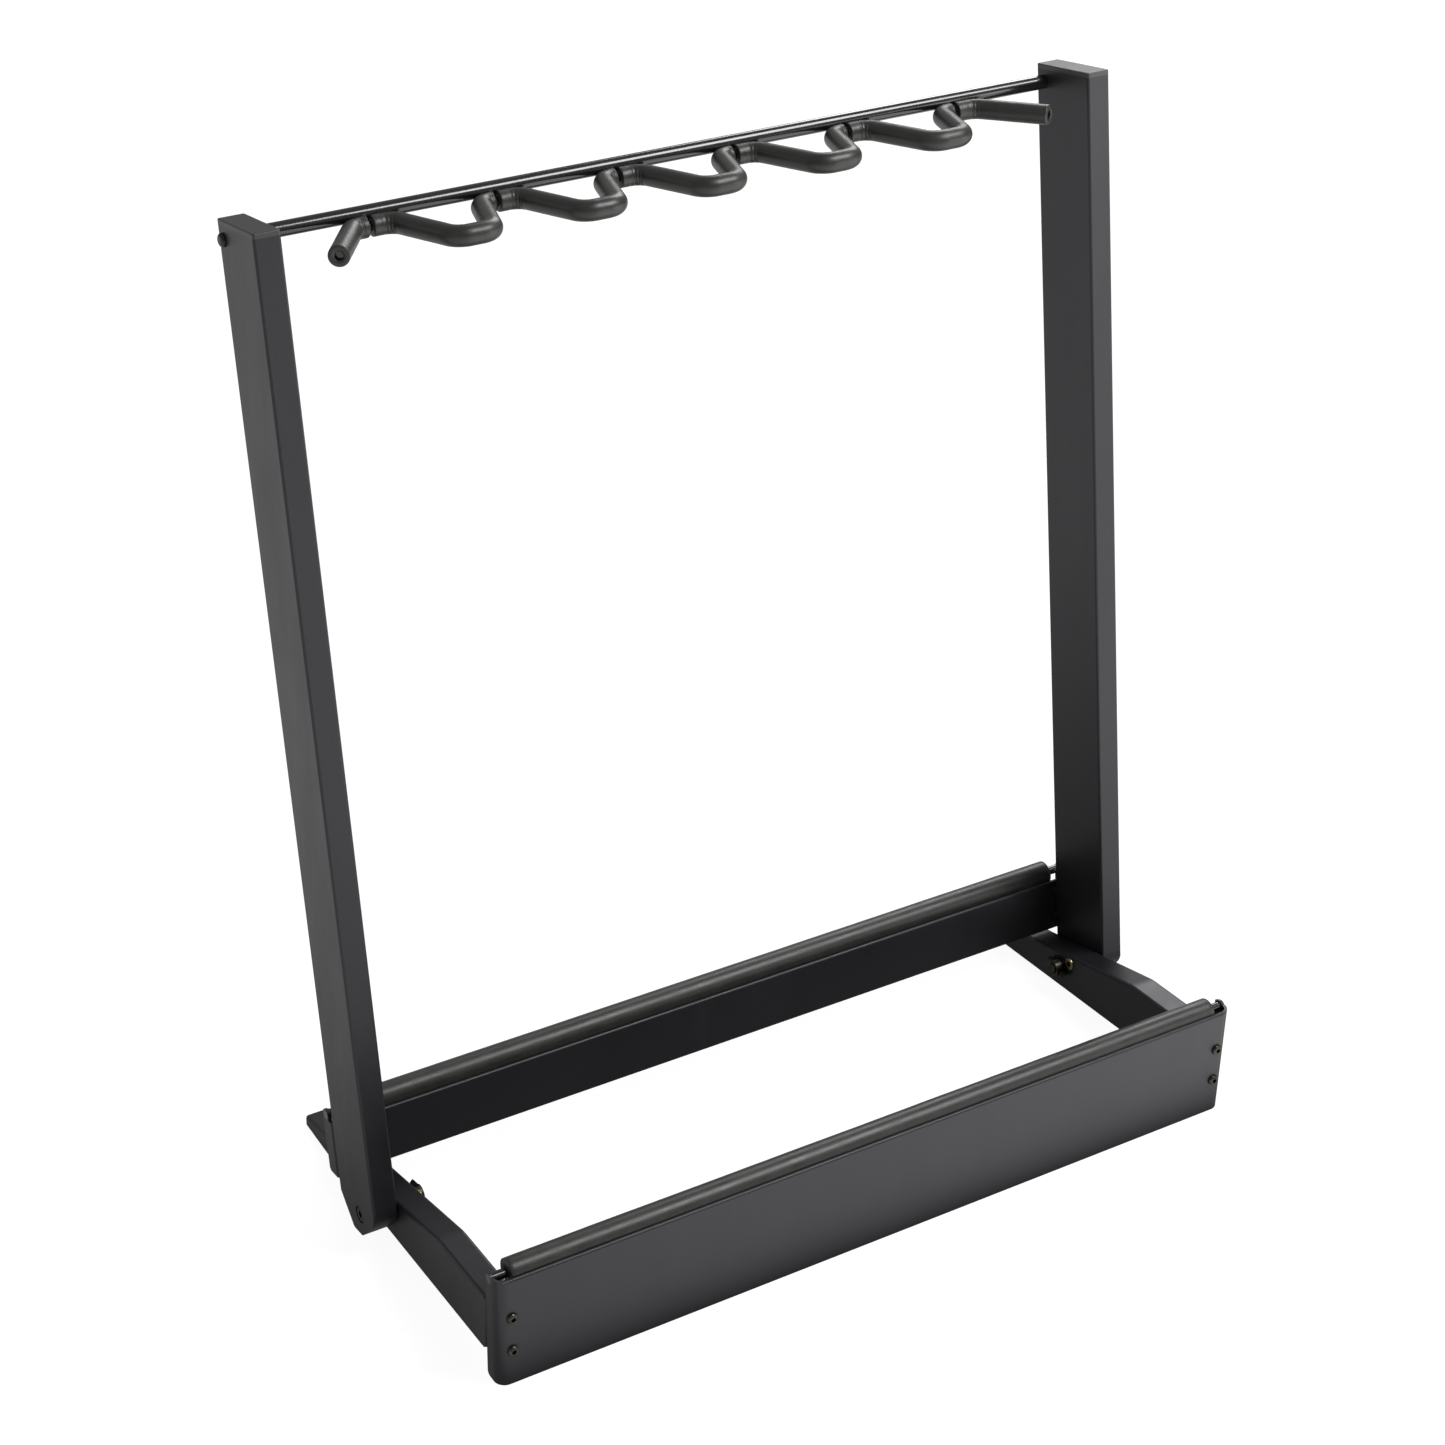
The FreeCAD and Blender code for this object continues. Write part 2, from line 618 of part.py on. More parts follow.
def hanger_wire():
    """The bare wire, from open end to open end."""
    points, radii = end_leg(-1, WIRE_INSET, 0)
    points.reverse()
    for index in range(VALLEYS - 1):
        more_points, more_radii = full_loop(index, 0, 0)
        points = points[:-1] + more_points[1:]
        radii = radii[:-1] + more_radii[1:]
    more_points, more_radii = end_leg(1, WIRE_INSET, 0)
    points = points[:-1] + more_points[1:]
    radii = radii[:-1] + more_radii[1:]
    return leaned(swept(points, radii, WIRE_RADIUS))


def sleeve_along(points, radii):
    """Foam sleeve along a path, pressed in where the top rod lies against it."""
    sleeve = swept(points, radii, SLEEVE_RADIUS).cut(swept(points, radii, SLEEVE_BORE_RADIUS))
    room = bar_x(-UPRIGHT_INNER_X, UPRIGHT_INNER_X, TOP_ROD_BACK, TOP_ROD_UP, TOP_ROD_RADIUS + BODY_GAP)
    return leaned(sleeve.cut(room))


def neck_sleeve(index):
    """Foam sleeve over one full loop, from one seam to the next."""
    points, radii = full_loop(index, SLEEVE_GAP / 2 + SEAM_OFFSET, SLEEVE_GAP / 2 - SEAM_OFFSET)
    return sleeve_along(points, radii)


def end_sleeve(side):
    """Foam sleeve over one of the two half loops at the ends."""
    points, radii = end_leg(side, 0, SLEEVE_GAP / 2 + side * SEAM_OFFSET)
    return sleeve_along(points, radii)


def hanger_weld_tabs():
    """Small plates that join the wire to the top rod at each valley."""
    rod = V(0, TOP_ROD_BACK, TOP_ROD_UP)
    wire = V(0, HANGER_BACK, HANGER_UP)
    along = unit(rod - wire)
    across = V(0, -along.z, along.y) * (WELD_TAB_WIDTH / 2)
    tabs = []
    for index in range(VALLEYS):
        x = V(valley_x(index) + SEAM_OFFSET - WELD_TAB_WIDTH / 2, 0, 0)
        corners = [x + wire + across, x + rod + across, x + rod - across, x + wire - across]
        tab = Part.Face(Part.makePolygon(corners + [corners[0]])).extrude(V(WELD_TAB_WIDTH, 0, 0))
        tab = tab.cut(bar_x(x.x - 1, x.x + WELD_TAB_WIDTH + 1, rod.y, rod.z, TOP_ROD_RADIUS))
        tab = tab.cut(bar_x(x.x - 1, x.x + WELD_TAB_WIDTH + 1, wire.y, wire.z, WIRE_RADIUS))
        tabs.append(tab)
    return leaned(Part.makeCompound(tabs))


save("right_side_rail", side_rail())
save("left_side_rail", mirrored(side_rail()))
save("front_panel", front_panel())
save("front_rod", front_rod())
save("front_foam_tube", foam_tube(FRONT_FOAM_HALF_LENGTH, FRONT_FACE_Y + FRONT_ROD_BACK, FRONT_ROD_HEIGHT))
save("front_panel_screws", front_panel_screws())
save("pivot_bolts", pair(pivot_bolt()))
save("pivot_nuts", pivot_nuts())
save("pivot_washers", pair(pivot_washer()))
save("lock_inserts", pair(lock_insert()))

save("right_upright", upright())
save("left_upright", mirrored(upright()))
save("right_top_cap", top_cap())
save("left_top_cap", mirrored(top_cap()))
save("right_foot_plug", foot_plug())
save("left_foot_plug", mirrored(foot_plug()))
save("pivot_bushings", pair(pivot_bushing()))
save("top_rod", top_rod())
save("rod_bolts", pair(rod_bolt()))
save("hanger_wire", hanger_wire())
save("hanger_weld_tabs", hanger_weld_tabs())
save("left_end_sleeve", end_sleeve(-1))
save("right_end_sleeve", end_sleeve(1))
for loop in range(VALLEYS - 1):
    save("neck_sleeve_" + str(loop + 1), neck_sleeve(loop))
save("rear_panel", rear_panel())
save("rear_rod", rear_rod())
rear_foam = foam_tube(REAR_FOAM_HALF_LENGTH, REAR_FACE_BACK + REAR_ROD_BACK, REAR_BOTTOM + REAR_ROD_HEIGHT)
save("rear_foam_tube", leaned(rear_foam))
save("rear_panel_spacers", rear_panel_spacers())
save("rear_panel_screws", rear_panel_screws())
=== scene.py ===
import json
import math

import bpy
from mathutils import Matrix, Vector, noise


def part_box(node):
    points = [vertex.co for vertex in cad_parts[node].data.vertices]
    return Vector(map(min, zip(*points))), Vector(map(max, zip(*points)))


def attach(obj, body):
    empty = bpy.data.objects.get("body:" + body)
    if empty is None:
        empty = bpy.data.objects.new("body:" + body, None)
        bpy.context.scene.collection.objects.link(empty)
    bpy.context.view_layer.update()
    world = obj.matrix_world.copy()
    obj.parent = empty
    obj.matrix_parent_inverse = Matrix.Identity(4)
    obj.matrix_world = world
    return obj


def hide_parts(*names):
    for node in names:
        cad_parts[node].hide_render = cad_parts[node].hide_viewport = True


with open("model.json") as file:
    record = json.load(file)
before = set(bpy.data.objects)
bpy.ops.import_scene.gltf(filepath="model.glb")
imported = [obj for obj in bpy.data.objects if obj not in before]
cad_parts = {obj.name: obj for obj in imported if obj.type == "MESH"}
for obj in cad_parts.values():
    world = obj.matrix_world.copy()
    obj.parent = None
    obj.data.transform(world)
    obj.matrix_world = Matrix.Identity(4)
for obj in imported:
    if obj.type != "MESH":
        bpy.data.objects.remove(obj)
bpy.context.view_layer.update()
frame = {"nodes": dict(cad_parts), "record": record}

# Folding guitar rack. Metres; +X right, +Y back, +Z up, floor at z = 0.

# The uprights' own axes: "back" is distance behind their front, "up" is along them.
LEAN = math.radians(8.85)
UPRIGHT_FRONT_Y = -0.0148

# Neck hanger, in the uprights' axes.
LOOPS = 5
PITCH = 0.1062
HANGER_BACK = 0.0534
HANGER_UP = 0.8464
HANGER_DROOP = math.radians(3.8)
HANGER_REACH = 0.0657
VALLEY_FLAT = 0.0337
VALLEY_RADIUS = 0.0144
TIP_FLAT = 0.030
TIP_RADIUS = 0.014
END_REACH = 0.0555
SLEEVE_RADIUS = 0.0085
SLEEVE_BORE = 0.0036
SLEEVE_GAP = 0.0036
SEAM_OFFSET = -0.004

# Gap left where a sleeve presses against the top rod.
ROD_ROOM = 0.0003

# Foam tubes on the two body rods.
FOAM_TUBE_BORE = 0.0041

# How finely the foam is divided: the distance between rings and the sides of each ring.
BAR_SPACING = 0.004
BAR_SIDES = 44
SLEEVE_SPACING = 0.0013
SLEEVE_SIDES = 36

# Rounded lips at the ends of the foam, with extra rings at these distances from an end.
FOAM_LIP = 0.0009
END_STEPS = (0.0003, 0.0006)

# Creases inside the bends of the foam, deepest in bends as tight as CREASE_BEND_RADIUS.
CREASE_DEPTH = 0.0008
CREASE_SPACING = 0.0056
CREASE_BEND_RADIUS = 0.016
BEND_NEIGHBOURS = 4

# Ripple of the foam's skin, as shares of its radius. The skin's mean lies a little inside
# the CAD radius. RATE is how fast the noise changes along the foam, REACH round it.
SKIN_SHARE = 0.992
SLOW_RIPPLE = 0.010
SLOW_RATE = 22.0
SLOW_REACH = 0.7
FAST_RIPPLE = 0.006
FAST_RATE = 160.0
FAST_REACH = 2.2

# Floor. The camera sees SEEN_GLOW, and the rack is lit by the two other glows. FRONT_GLOW
# goes from its first strength to its second across FRONT_GLOW_X, and ends at FRONT_EDGE_Y.
# AROUND_GLOW goes from its first to its second with the distance from the rack's middle.
FLOOR_HALF = 14.0
FLOOR_LEVEL = -0.0004
SEEN_GLOW = 0.93
FRONT_EDGE_Y = (-0.23, -0.18)
FRONT_GLOW = (0.85, 1.60)
FRONT_GLOW_X = (-0.4, 0.5)
AROUND_GLOW = (0.08, 0.55)
AROUND_REACH = (0.30, 0.8)

# Camera, solved from the straight edges of the rack in the photo.
CAMERA_PLACE = (-1.0938, -1.6944, 1.6154)
CAMERA_DIRECTION = (0.4265, 0.7651, -0.4823)
CAMERA_LENS = 71.74
SENSOR_WIDTH = 36.0
CAMERA_SHIFT = (0.0722, -0.0766)


# ---------------------------------------------------------------- materials

def new_material(name):
    material = bpy.data.materials.new(name)
    material.use_nodes = True
    tree = material.node_tree
    tree.nodes.clear()
    output = tree.nodes.new("ShaderNodeOutputMaterial")
    shader = tree.nodes.new("ShaderNodeBsdfPrincipled")
    tree.links.new(shader.outputs["BSDF"], output.inputs["Surface"])
    return material, tree, shader


def object_point(tree):
    return tree.nodes.new("ShaderNodeTexCoord").outputs["Object"]


def noise_value(tree, point, scale, detail, roughness=0.5, stretch=None):
    """Value of a noise texture; stretch scales the three axes first."""
    if stretch is not None:
        mapping = tree.nodes.new("ShaderNodeMapping")
        mapping.inputs["Scale"].default_value = stretch
        tree.links.new(point, mapping.inputs["Vector"])
        point = mapping.outputs["Vector"]
    texture = tree.nodes.new("ShaderNodeTexNoise")
    texture.inputs["Scale"].default_value = scale
    texture.inputs["Detail"].default_value = detail
    texture.inputs["Roughness"].default_value = roughness
    tree.links.new(point, texture.inputs["Vector"])
    return texture.outputs["Fac"]


def ramp(tree, value, stops):
    """Colour ramp with (position, colour) stops; the first two replace the ramp's own."""
    node = tree.nodes.new("ShaderNodeValToRGB")
    elements = node.color_ramp.elements
    for index, (position, colour) in enumerate(stops):
        element = elements[index] if index < 2 else elements.new(position)
        element.position = position
        element.color = (*colour, 1.0)
    tree.links.new(value, node.inputs["Fac"])
    return node.outputs["Color"]


def remap(tree, value, low, high, source_low=0.3, source_high=0.7):
    """Runs from low to high as the value goes from source_low to source_high."""
    node = tree.nodes.new("ShaderNodeMapRange")
    node.inputs["From Min"].default_value = source_low
    node.inputs["From Max"].default_value = source_high
    node.inputs["To Min"].default_value = low
    node.inputs["To Max"].default_value = high
    tree.links.new(value, node.inputs["Value"])
    return node.outputs["Result"]


def arithmetic(tree, operation, first, second):
    node = tree.nodes.new("ShaderNodeMath")
    node.operation = operation
    for socket, value in zip(node.inputs, (first, second)):
        if isinstance(value, float):
            socket.default_value = value
        else:
            tree.links.new(value, socket)
    return node.outputs["Value"]


def mix_colour(tree, factor, first, second):
    node = tree.nodes.new("ShaderNodeMix")
    node.data_type = "RGBA"
    tree.links.new(factor, node.inputs["Factor"])
    for socket, value in ((node.inputs["A"], first), (node.inputs["B"], second)):
        if isinstance(value, tuple):
            socket.default_value = (*value, 1.0)
        else:
            tree.links.new(value, socket)
    return node.outputs["Result"]


def add_bump(tree, shader, heights):
    """Chains bumps of (height value, strength, distance) onto the shader's normal."""
    normal = None
    for height, strength, distance in heights:
        bump = tree.nodes.new("ShaderNodeBump")
        bump.inputs["Strength"].default_value = strength
        bump.inputs["Distance"].default_value = distance
        tree.links.new(height, bump.inputs["Height"])
        if normal is not None:
            tree.links.new(normal, bump.inputs["Normal"])
        normal = bump.outputs["Normal"]
    tree.links.new(normal, shader.inputs["Normal"])


def powder_coat():
    """Satin black powder coat: fine orange peel, faint scuffs and handling marks."""
    material, tree, shader = new_material("powder_coat")
    point = object_point(tree)
    cloud = noise_value(tree, point, 9.0, 4.0)
    grain = noise_value(tree, point, 1900.0, 2.0)
    peel = noise_value(tree, point, 520.0, 2.0, 0.4)
    scuff = noise_value(tree, point, 38.0, 6.0, 0.62, (1.0, 1.0, 0.22))
    dark = (0.0085, 0.0083, 0.0098)
    light = (0.0125, 0.0122, 0.0140)
    base = ramp(tree, cloud, [(0.3, dark), (0.7, light)])
    dust = remap(tree, scuff, 0.0, 0.30, 0.60, 0.82)
    speck = remap(tree, grain, 0.0, 0.12, 0.52, 0.72)
    base = mix_colour(tree, dust, base, (0.030, 0.0295, 0.032))
    base = mix_colour(tree, speck, base, (0.050, 0.049, 0.053))
    tree.links.new(base, shader.inputs["Base Color"])
    satin = remap(tree, cloud, 0.33, 0.38)
    scuffed = remap(tree, scuff, 0.0, 0.06)
    tree.links.new(arithmetic(tree, "ADD", satin, scuffed), shader.inputs["Roughness"])
    shader.inputs["Specular IOR Level"].default_value = 0.5
    shader.inputs["Specular Tint"].default_value = (0.94, 0.93, 1.0, 1.0)
    add_bump(tree, shader, [(peel, 0.22, 0.00020), (grain, 0.25, 0.00006)])
    return material


def gloss_rod():
    """Gloss black enamel on round bar, with faint drawing lines and dust."""
    material, tree, shader = new_material("gloss_rod")
    point = object_point(tree)
    cloud = noise_value(tree, point, 24.0, 4.0)
    lines = noise_value(tree, point, 900.0, 2.0, 0.5, (0.02, 1.0, 1.0))
    base = ramp(tree, cloud, [(0.3, (0.006, 0.006, 0.007)), (0.7, (0.011, 0.011, 0.012))])
    tree.links.new(base, shader.inputs["Base Color"])
    tree.links.new(remap(tree, cloud, 0.16, 0.24), shader.inputs["Roughness"])
    shader.inputs["Coat Weight"].default_value = 0.5
    shader.inputs["Coat Roughness"].default_value = 0.12
    add_bump(tree, shader, [(lines, 0.10, 0.00005)])
    return material


def foam():
    """Closed-cell foam with a fine skin: small pits with painted shade in them, soft mottling, a dusty
    sheen.
    """
    material, tree, shader = new_material("foam")
    point = object_point(tree)
    mottle = noise_value(tree, point, 55.0, 5.0, 0.6)
    cells = tree.nodes.new("ShaderNodeTexVoronoi")
    cells.inputs["Scale"].default_value = 1500.0
    tree.links.new(point, cells.inputs["Vector"])
    pits = cells.outputs["Distance"]
    fine = noise_value(tree, point, 3200.0, 3.0, 0.6)
    dark = (0.0150, 0.0151, 0.0135)
    light = (0.0240, 0.0242, 0.0218)
    base = ramp(tree, mottle, [(0.32, dark), (0.68, light)])
    # Painted shade: the colour goes darker at the bottoms of the small pits, where the bump dips and
    # shade falls.
    pit_shade_mask = remap(tree, pits, 0.45, 0.0, 0.05, 0.35)
    base = mix_colour(tree, pit_shade_mask, base, (0.007, 0.007, 0.006))
    tree.links.new(base, shader.inputs["Base Color"])
    tree.links.new(remap(tree, mottle, 0.34, 0.44), shader.inputs["Roughness"])
    shader.inputs["Specular IOR Level"].default_value = 0.55
    shader.inputs["Sheen Weight"].default_value = 0.04
    shader.inputs["Sheen Roughness"].default_value = 0.5
    shader.inputs["Sheen Tint"].default_value = (0.80, 0.80, 0.76, 1.0)
    add_bump(tree, shader, [(mottle, 0.16, 0.0006), (pits, 0.30, 0.00012), (fine, 0.25, 0.00005)])
    return material


def moulded_plastic():
    """Matt moulded plastic with a fine spark-eroded grain."""
    material, tree, shader = new_material("moulded_plastic")
    point = object_point(tree)
    cloud = noise_value(tree, point, 30.0, 4.0)
    grain = noise_value(tree, point, 2200.0, 3.0, 0.6)
    base = ramp(tree, cloud, [(0.3, (0.010, 0.010, 0.011)), (0.7, (0.015, 0.015, 0.016))])
    tree.links.new(base, shader.inputs["Base Color"])
    tree.links.new(remap(tree, grain, 0.36, 0.46), shader.inputs["Roughness"])
    shader.inputs["Specular IOR Level"].default_value = 0.8
    add_bump(tree, shader, [(grain, 0.35, 0.00008)])
    return material


def plated_metal(name, dark, light, smoothest, roughest):
    """Plated metal with fine turning marks; its darker patches are rougher."""
    material, tree, shader = new_material(name)
    point = object_point(tree)
    cloud = noise_value(tree, point, 160.0, 5.0, 0.6)
    marks = noise_value(tree, point, 2400.0, 2.0, 0.5, (1.0, 0.15, 1.0))
    base = ramp(tree, cloud, [(0.32, dark), (0.66, light)])
    tree.links.new(base, shader.inputs["Base Color"])
    tree.links.new(remap(tree, cloud, roughest, smoothest), shader.inputs["Roughness"])
    shader.inputs["Metallic"].default_value = 1.0
    add_bump(tree, shader, [(marks, 0.18, 0.00005)])
    return material


materials = {
    "black_powder_coat": powder_coat(),
    "gloss_black_rod": gloss_rod(),
    "dark_foam": foam(),
    "black_plastic": moulded_plastic(),
    "zinc_steel": plated_metal("zinc_steel", dark=(0.030, 0.027, 0.022), light=(0.085, 0.078, 0.062),
                               smoothest=0.28, roughest=0.45),
    "brass_insert": plated_metal("brass_insert", dark=(0.34, 0.27, 0.13), light=(0.60, 0.50, 0.28),
                                 smoothest=0.22, roughest=0.36),
}

for part in frame["record"]["subparts"]:
    mesh = frame["nodes"][part["node"]].data
    mesh.materials.clear()
    mesh.materials.append(materials[part["material_slot"]])


# ---------------------------------------------------------------- foam pieces

def skin_ripple(along, angle, seed):
    """Small unevenness of a foam skin, as a share of the foam's radius."""
    across = math.cos(angle)
    upward = math.sin(angle)
    slow = noise.noise(Vector((along * SLOW_RATE, across * SLOW_REACH + seed, upward * SLOW_REACH)))
    fast = noise.noise(Vector((along * FAST_RATE, across * FAST_REACH, upward * FAST_REACH + seed)))
    return SLOW_RIPPLE * slow + FAST_RIPPLE * fast


def running_lengths(samples):
    """Distance along the path at each sample."""
    lengths = [0.0]
    for before, after in zip(samples, samples[1:]):
        lengths.append(lengths[-1] + (after[0] - before[0]).length)
    return lengths


def softened_bends(samples):
    """Signed curvature at each sample, averaged over its neighbours."""
    bends = []
    for index in range(len(samples)):
        nearby = samples[max(0, index - BEND_NEIGHBOURS):index + BEND_NEIGHBOURS + 1]
        bends.append(sum(sample[2] for sample in nearby) / len(nearby))
    return bends


def pushed_clear(vertex, axis_point, clear_radius):
    """Moves a point out of a round rod along X, as foam pressed against it gives way."""
    arm = Vector((0, vertex.y - axis_point.y, vertex.z - axis_point.z))
    if arm.length >= clear_radius:
        return vertex
    arm = arm.normalized() * clear_radius
    return Vector((vertex.x, axis_point.y + arm.y, axis_point.z + arm.z))


def foam_piece(node, body, samples, normal, radius, bore, sides, seed, keep_clear=None):
    """Hollow foam tube along samples of (point, direction, curvature), for one CAD node."""
    along = running_lengths(samples)
    bends = softened_bends(samples)
    length = along[-1]
    vertices = []
    rings = []

    def add_ring(index, reach, skinned):
        spot, direction = samples[index][:2]
        side = normal.cross(direction)
        rings.append(len(vertices))
        for turn in range(sides):
            angle = 2 * math.pi * turn / sides
            distance = reach
            if skinned:
                distance = reach * (1 + skin_ripple(along[index], angle, seed))
                inside = max(0.0, math.cos(angle) * math.copysign(1.0, bends[index]))
                tightness = min(1.0, abs(bends[index]) * CREASE_BEND_RADIUS)
                wave = 0.5 + 0.5 * math.cos(along[index] * 2 * math.pi / CREASE_SPACING + seed)
                distance -= CREASE_DEPTH * tightness * inside * inside * wave
                distance = min(distance, radius)
            across = side * (math.cos(angle) * distance)
            upward = normal * (math.sin(angle) * distance)
            vertices.append(spot + across + upward)

    final = len(samples) - 1
    middle = (bore + radius) / 2
    add_ring(0, bore, False)
    add_ring(0, middle, False)
    add_ring(0, radius - FOAM_LIP, True)
    for index in range(1, final):
        from_end = min(along[index], length - along[index])
        shortfall = max(0.0, FOAM_LIP - from_end)
        rounding = FOAM_LIP - math.sqrt(FOAM_LIP * FOAM_LIP - shortfall * shortfall)
        add_ring(index, radius * SKIN_SHARE - rounding, True)
    add_ring(final, radius - FOAM_LIP, True)
    add_ring(final, middle, False)
    add_ring(final, bore, False)
    for index in range(final - 1, 0, -1):
        add_ring(index, bore, False)
    if keep_clear is not None:
        vertices = [pushed_clear(vertex, *keep_clear) for vertex in vertices]

    faces = []
    for index, start in enumerate(rings):
        after = rings[(index + 1) % len(rings)]
        for turn in range(sides):
            ahead = (turn + 1) % sides
            faces.append((start + turn, after + turn, after + ahead, start + ahead))
    mesh = bpy.data.meshes.new(node + "_skin")
    mesh.from_pydata([tuple(vertex) for vertex in vertices], [], faces)
    mesh.polygons.foreach_set("use_smooth", [True] * len(mesh.polygons))
    mesh.materials.append(materials["dark_foam"])
    piece = bpy.data.objects.new(node + "_skin", mesh)
    bpy.context.scene.collection.objects.link(piece)
    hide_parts(node)
    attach(piece, body)


def end_steps(end, neighbour):
    """Close samples next to one end of a path, nearest the end first."""
    inward = (neighbour[0] - end[0]).normalized()
    return [(end[0] + inward * step, end[1], 0.0) for step in END_STEPS]


def with_end_steps(samples):
    """Adds close samples near both ends of a path, so that its lips come out round."""
    start = end_steps(samples[0], samples[1])
    finish = end_steps(samples[-1], samples[-2])
    return samples[:1] + start + samples[1:-1] + finish[::-1] + samples[-1:]


def foam_bar(node, body, seed):
    """Long straight foam tube on one of the two body rods."""
    low, high = (Vector(corner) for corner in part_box(node))
    centre = (low + high) / 2
    steps = round((high.x - low.x) / BAR_SPACING)
    samples = []
    for step in range(steps + 1):
        x = low.x + (high.x - low.x) * step / steps
        samples.append((Vector((x, centre.y, centre.z)), Vector((1, 0, 0)), 0.0))
    radius = (high.z - low.z) / 2
    up = Vector((0, 0, 1))
    foam_piece(node, body, with_end_steps(samples), up, radius, FOAM_TUBE_BORE, BAR_SIDES, seed)


def in_rack(x, back, up):
    """Point given in the uprights' own axes, in the rack's axes."""
    y = UPRIGHT_FRONT_Y + back * math.cos(LEAN) + up * math.sin(LEAN)
    z = up * math.cos(LEAN) - back * math.sin(LEAN)
    return Vector((x, y, z))


def hanger_point(x, reach):
    """Point in the hanger's plane, this far forward of the bends beside the top rod."""
    back = HANGER_BACK - reach * math.cos(HANGER_DROOP)
    up = HANGER_UP - reach * math.sin(HANGER_DROOP)
    return in_rack(x, back, up)


HANGER_NORMAL = Vector((1, 0, 0)).cross(hanger_point(0, 0) - hanger_point(0, 1)).normalized()


def rounded_samples(points, radii, spacing):
    """Evenly spaced (point, direction, signed curvature) along lines and arcs."""
    samples = []

    def add_line(first, second):
        count = max(1, round((second - first).length / spacing))
        direction = (second - first).normalized()
        for step in range(count):
            samples.append((first.lerp(second, step / count), direction, 0.0))

    def add_arc(first, middle, turn, radius):
        count = max(1, round(abs(turn) * radius / spacing))
        sign = math.copysign(1.0, turn)
        for step in range(count):
            arm = Matrix.Rotation(turn * step / count, 3, HANGER_NORMAL) @ (first - middle)
            direction = HANGER_NORMAL.cross(arm).normalized() * sign
            samples.append((middle + arm, direction, sign / radius))

    here = points[0]
    for index in range(1, len(points) - 1):
        at = points[index]
        back = (points[index - 1] - at).normalized()
        ahead = (points[index + 1] - at).normalized()
        half = back.angle(ahead) / 2
        reach = radii[index] / math.tan(half)
        middle = at + (back + ahead).normalized() * (radii[index] / math.sin(half))
        sign = math.copysign(1.0, ahead.cross(back).dot(HANGER_NORMAL))
        add_line(here, at + back * reach)
        add_arc(at + back * reach, middle, sign * (math.pi - 2 * half), radii[index])
        here = at + ahead * reach
    add_line(here, points[-1])
    samples.append((points[-1], (points[-1] - here).normalized(), 0.0))
    return samples


def top_rod_room():
    """Axis and radius of the space that the top rod takes out of the sleeves."""
    low, high = (Vector(corner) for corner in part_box("top_rod"))
    return (low + high) / 2, (high.z - low.z) / 2 + ROD_ROOM


TOP_ROD_ROOM = top_rod_room()


def sleeve_piece(node, points, radii, seed):
    """Foam sleeve on the hanger's wire along corners rounded to these radii."""
    samples = with_end_steps(rounded_samples(points, radii, SLEEVE_SPACING))
    foam_piece(node, "frame", samples, HANGER_NORMAL, SLEEVE_RADIUS, SLEEVE_BORE, SLEEVE_SIDES, seed,
               TOP_ROD_ROOM)


def neck_sleeve(index, seed):
    """Foam sleeve over one full loop of the hanger, counted from the left."""
    left = (index - LOOPS / 2) * PITCH
    right = left + PITCH
    tip = (left + right) / 2
    start = left + SEAM_OFFSET + SLEEVE_GAP / 2
    end = right + SEAM_OFFSET - SLEEVE_GAP / 2
    points = [
        hanger_point(start, 0), hanger_point(left + VALLEY_FLAT / 2, 0),
        hanger_point(tip - TIP_FLAT / 2, HANGER_REACH), hanger_point(tip + TIP_FLAT / 2, HANGER_REACH),
        hanger_point(right - VALLEY_FLAT / 2, 0), hanger_point(end, 0),
    ]
    radii = [0, VALLEY_RADIUS, TIP_RADIUS, TIP_RADIUS, VALLEY_RADIUS, 0]
    sleeve_piece("neck_sleeve_" + str(index + 1), points, radii, seed)


def end_sleeve(side, node, seed):
    """Foam sleeve over one of the two open half loops."""
    x = side * LOOPS / 2 * PITCH
    points = [
        hanger_point(x + SEAM_OFFSET + side * SLEEVE_GAP / 2, 0),
        hanger_point(x + side * VALLEY_FLAT / 2, 0),
        hanger_point(x + side * PITCH / 2, END_REACH),
    ]
    sleeve_piece(node, points, [0, VALLEY_RADIUS, 0], seed)


# The last number of each call is a seed, so that no two pieces ripple alike.
foam_bar("front_foam_tube", "base", 0.3)
foam_bar("rear_foam_tube", "frame", 2.9)
for loop in range(LOOPS):
    neck_sleeve(loop, 1.7 * loop + 0.4)
end_sleeve(-1, "left_end_sleeve", 5.2)
end_sleeve(1, "right_end_sleeve", 7.7)


# ---------------------------------------------------------------- studio

def soft_glow(tree, shader, strength):
    """The surface with a glow of its own added, of one strength or of a strength from a node."""
    glow = tree.nodes.new("ShaderNodeEmission")
    if isinstance(strength, float):
        glow.inputs["Strength"].default_value = strength
    else:
        tree.links.new(strength, glow.inputs["Strength"])
    both = tree.nodes.new("ShaderNodeAddShader")
    tree.links.new(shader.outputs["BSDF"], both.inputs[0])
    tree.links.new(glow.outputs["Emission"], both.inputs[1])
    return both.outputs["Shader"]


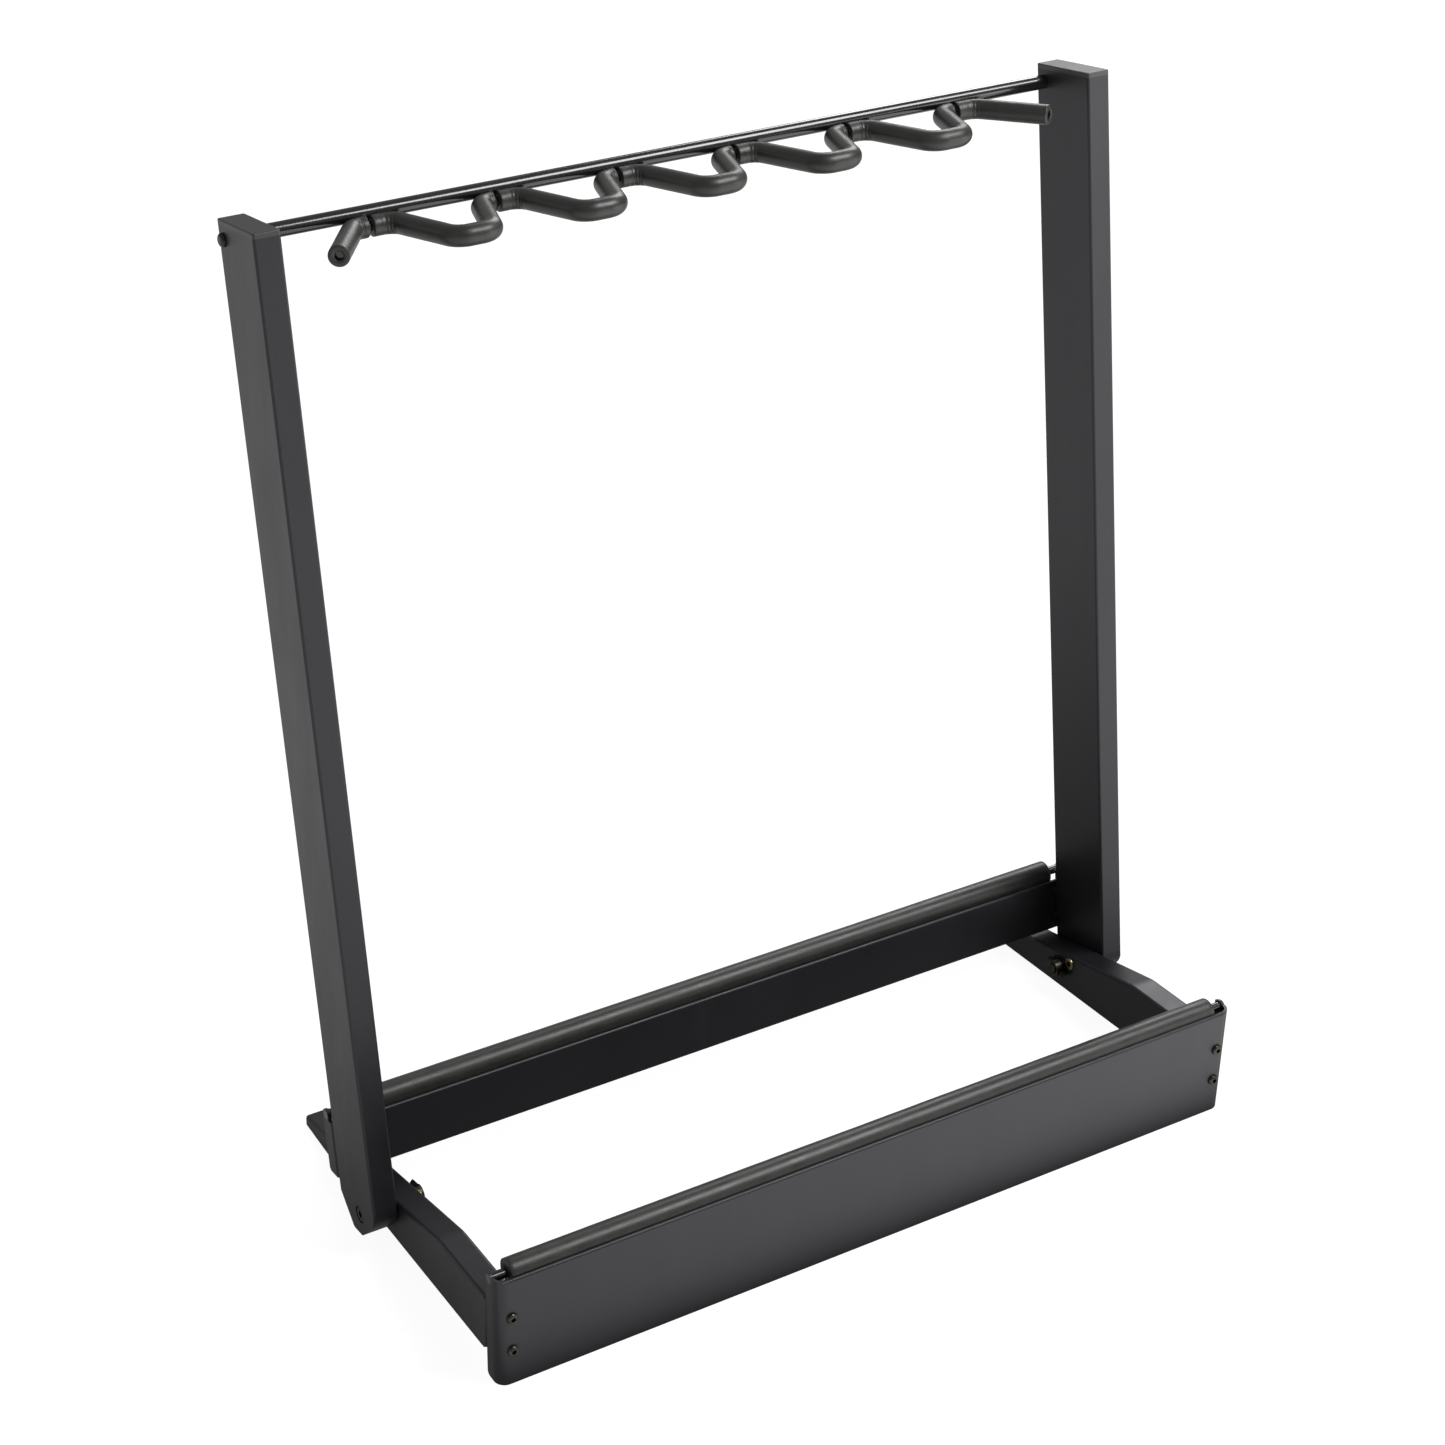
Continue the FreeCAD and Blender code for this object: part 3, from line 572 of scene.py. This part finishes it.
def studio_floor():
    """Pale floor. The camera sees it evenly near white, like over-exposed paper.

    The light that the rack gets from it is weaker and uneven: bright in front of the rack and
    more so to the right, dim under the rack, and brighter again further away. That follows the
    tones in the photo.
    """
    mesh = bpy.data.meshes.new("studio_floor")
    signs = ((-1, -1), (1, -1), (1, 1), (-1, 1))
    corners = [(x * FLOOR_HALF, y * FLOOR_HALF, FLOOR_LEVEL) for x, y in signs]
    mesh.from_pydata(corners, [], [(0, 1, 2, 3)])
    material, tree, shader = new_material("studio_floor")
    point = object_point(tree)
    cloud = noise_value(tree, point, 3.0, 3.0)
    base = ramp(tree, cloud, [(0.3, (0.17, 0.17, 0.17)), (0.7, (0.19, 0.19, 0.19))])
    tree.links.new(base, shader.inputs["Base Color"])
    shader.inputs["Roughness"].default_value = 0.9
    shader.inputs["Specular IOR Level"].default_value = 0.0
    place = tree.nodes.new("ShaderNodeSeparateXYZ")
    tree.links.new(point, place.inputs["Vector"])
    reach = tree.nodes.new("ShaderNodeVectorMath")
    reach.operation = "LENGTH"
    tree.links.new(point, reach.inputs[0])
    in_front = remap(tree, place.outputs["Y"], 1.0, 0.0, *FRONT_EDGE_Y)
    left_to_right = remap(tree, place.outputs["X"], *FRONT_GLOW, *FRONT_GLOW_X)
    around = remap(tree, reach.outputs["Value"], *AROUND_GLOW, *AROUND_REACH)
    front = arithmetic(tree, "MULTIPLY", in_front, left_to_right)
    bounce = soft_glow(tree, shader, arithmetic(tree, "MAXIMUM", front, around))
    seen = soft_glow(tree, shader, SEEN_GLOW)
    path = tree.nodes.new("ShaderNodeLightPath")
    mix = tree.nodes.new("ShaderNodeMixShader")
    output = next(node for node in tree.nodes if node.type == "OUTPUT_MATERIAL")
    tree.links.new(path.outputs["Is Camera Ray"], mix.inputs["Fac"])
    tree.links.new(bounce, mix.inputs[1])
    tree.links.new(seen, mix.inputs[2])
    tree.links.new(mix.outputs["Shader"], output.inputs["Surface"])
    mesh.materials.append(material)
    floor = bpy.data.objects.new("studio_floor", mesh)
    bpy.context.scene.collection.objects.link(floor)


def soft_light(name, place, target, width, height, power):
    light = bpy.data.lights.new(name, "AREA")
    light.shape = "RECTANGLE"
    light.size = width
    light.size_y = height
    light.energy = power
    lamp = bpy.data.objects.new(name, light)
    lamp.location = place
    lamp.rotation_euler = (Vector(target) - Vector(place)).to_track_quat("-Z", "Y").to_euler()
    bpy.context.scene.collection.objects.link(lamp)


def studio_camera():
    data = bpy.data.cameras.new("camera")
    data.lens = CAMERA_LENS
    data.sensor_width = SENSOR_WIDTH
    data.shift_x, data.shift_y = CAMERA_SHIFT
    data.dof.use_dof = False
    camera = bpy.data.objects.new("camera", data)
    camera.location = CAMERA_PLACE
    camera.rotation_euler = Vector(CAMERA_DIRECTION).to_track_quat("-Z", "Y").to_euler()
    bpy.context.scene.collection.objects.link(camera)
    bpy.context.scene.camera = camera


studio_floor()
studio_camera()
soft_light("overhead", place=(1.2, -1.0, 2.7), target=(0.1, 0.0, 0.3),
           width=1.5, height=0.9, power=52.0)
soft_light("back_right", place=(2.6, 2.7, 2.6), target=(0.2, 0.0, 0.4),
           width=1.5, height=1.5, power=50.0)
soft_light("front_right", place=(2.4, -2.2, 0.9), target=(0.2, -0.2, 0.3),
           width=1.4, height=1.0, power=14.0)
soft_light("left", place=(-2.4, 1.4, 1.0), target=(-0.2, 0.1, 0.5),
           width=1.4, height=1.2, power=3.0)

world = bpy.data.worlds.new("studio")
world.use_nodes = True
background = world.node_tree.nodes["Background"]
background.inputs["Color"].default_value = (1.0, 1.0, 1.0, 1.0)
background.inputs["Strength"].default_value = 0.30
bpy.context.scene.world = world
bpy.context.scene.view_settings.view_transform = "Standard"
